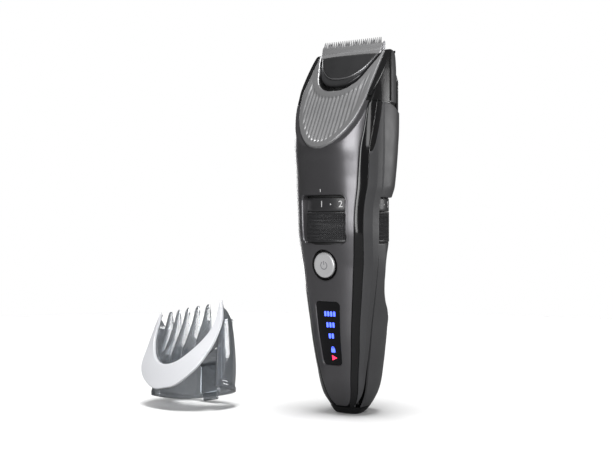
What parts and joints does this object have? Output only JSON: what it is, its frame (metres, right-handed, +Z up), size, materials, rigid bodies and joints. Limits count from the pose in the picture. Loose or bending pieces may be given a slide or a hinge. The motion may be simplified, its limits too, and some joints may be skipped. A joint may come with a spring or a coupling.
{
  "type": "hair clipper",
  "caption": "Cordless hair and beard clipper standing upright, with a slanted ribbed collar, toothed blade, length dial, power button, pop-up trimmer and a detached guide comb.",
  "frame": {"origin": "point of the flat standing face where the length dial's axis meets it", "axes": "+Z up along the body towards the blade, -Y towards the control panel, +X to the right when facing the panel"},
  "size_m": [0.1253, 0.0684, 0.1746],
  "materials": {
    "panel_gloss": "dark gunmetal lacquer",
    "black_gloss": "gloss black",
    "grip_grey": "satin dark grey",
    "black_satin": "satin black",
    "collar_silver": "ribbed silver-grey lacquer",
    "dial_black": "knurled dark grey",
    "button_silver": "satin silver lacquer",
    "lens_black": "smoked window",
    "light_pipe": "frosted clear",
    "blade_steel": "ground steel",
    "spring_steel": "bright",
    "contact_brass": "plated",
    "board_green": "solder mask",
    "cell_wrap": "shrink sleeve",
    "inner_plastic": "moulded grey",
    "rubber_black": "soft black",
    "core_iron": "laminated",
    "coil_copper": "enamelled wire",
    "magnet_plate": "nickel plated",
    "comb_smoke": "smoky clear",
    "comb_silver": "pale silver lacquer"
  },
  "bodies": {
    "root": {"front_panel": "panel_gloss", "front_case": "black_gloss", "rear_case": "grip_grey", "base_cap": "black_satin", "charge_socket": "black_satin", "charge_pin_left": "contact_brass", "charge_pin_right": "contact_brass", "head_housing": "black_satin", "head_collar": "collar_silver", "button_bezel": "black_satin", "button_seal": "rubber_black", "display_lens": "lens_black", "light_guide": "light_pipe", "circuit_board": "board_green", "tact_switch": "spring_steel", "battery_cell": "cell_wrap", "cell_cradle": "inner_plastic", "cell_contact_top": "contact_brass", "cell_contact_base": "contact_brass", "motor_chassis": "inner_plastic", "stator_core": "core_iron", "stator_coil": "coil_copper", "return_spring_left": "spring_steel", "return_spring_right": "spring_steel", "drive_boot": "rubber_black", "chassis_screw_left": "spring_steel", "chassis_screw_right": "spring_steel", "dial_detent": "spring_steel"},
    "dial": {"dial_ring": "dial_black"},
    "carrier": {"comb_carrier": "black_satin"},
    "button": {"power_button": "button_silver"},
    "mover": {"motor_mover": "magnet_plate", "magnet_left": "magnet_plate", "magnet_right": "magnet_plate", "drive_arm": "inner_plastic"},
    "blade_block": {"blade_base": "black_satin", "blade_cover": "black_satin", "blade_lip": "black_satin", "fixed_blade": "blade_steel", "blade_spring": "spring_steel", "blade_spring_right": "spring_steel"},
    "cutter": {"moving_blade": "blade_steel", "blade_driver": "inner_plastic"},
    "slide": {"trimmer_slide": "grip_grey", "trimmer_frame": "black_satin", "trimmer_fixed_blade": "blade_steel"},
    "trimmer_cutter": {"trimmer_moving_blade": "blade_steel"},
    "comb": {"comb_body": "comb_smoke", "comb_band": "comb_silver"}
  },
  "joints": [
    {"name": "dial_turn", "type": "hinge", "parent": "root", "child": "dial", "pos_m": [0, 0, 0.09], "axis": [0, 0, -1], "range_deg": [0, 252]},
    {"name": "carrier_lift", "type": "slide", "parent": "root", "child": "carrier", "axis": [0, 0, 1], "range_m": [0, 0.009]},
    {"name": "button_press", "type": "slide", "parent": "root", "child": "button", "axis": [0, 0.9964, 0.0848], "range_m": [0, 0.0008], "stiffness_N_per_m": 1500},
    {"name": "motor_swing", "type": "slide", "parent": "root", "child": "mover", "axis": [1, 0, 0], "range_m": [-0.0012, 0.0012], "stiffness_N_per_m": 400, "deforming": ["return_spring_left", "return_spring_right", "drive_boot"]},
    {"name": "block_tilt", "type": "hinge", "parent": "root", "child": "blade_block", "pos_m": [0, -0.007, 0.1524], "axis": [1, 0, 0], "range_deg": [0, 30]},
    {"name": "cutter_swing", "type": "slide", "parent": "blade_block", "child": "cutter", "axis": [1, 0, 0], "range_m": [-0.0012, 0.0012]},
    {"name": "trimmer_lift", "type": "slide", "parent": "root", "child": "slide", "axis": [0, 0, 1], "range_m": [0, 0.014]},
    {"name": "trimmer_swing", "type": "slide", "parent": "slide", "child": "trimmer_cutter", "axis": [1, 0, 0], "range_m": [-0.0008, 0.0008]},
    {"name": "comb_lift", "type": "slide", "parent": "root", "child": "comb", "axis": [0, 0, 1], "range_m": [0, 0.05]}
  ],
  "couplings": [
    {"joint": "carrier_lift", "follows": "dial_turn", "m_per_rad": 0.0020462},
    {"joint": "cutter_swing", "follows": "motor_swing", "ratio": 1}
  ]
}
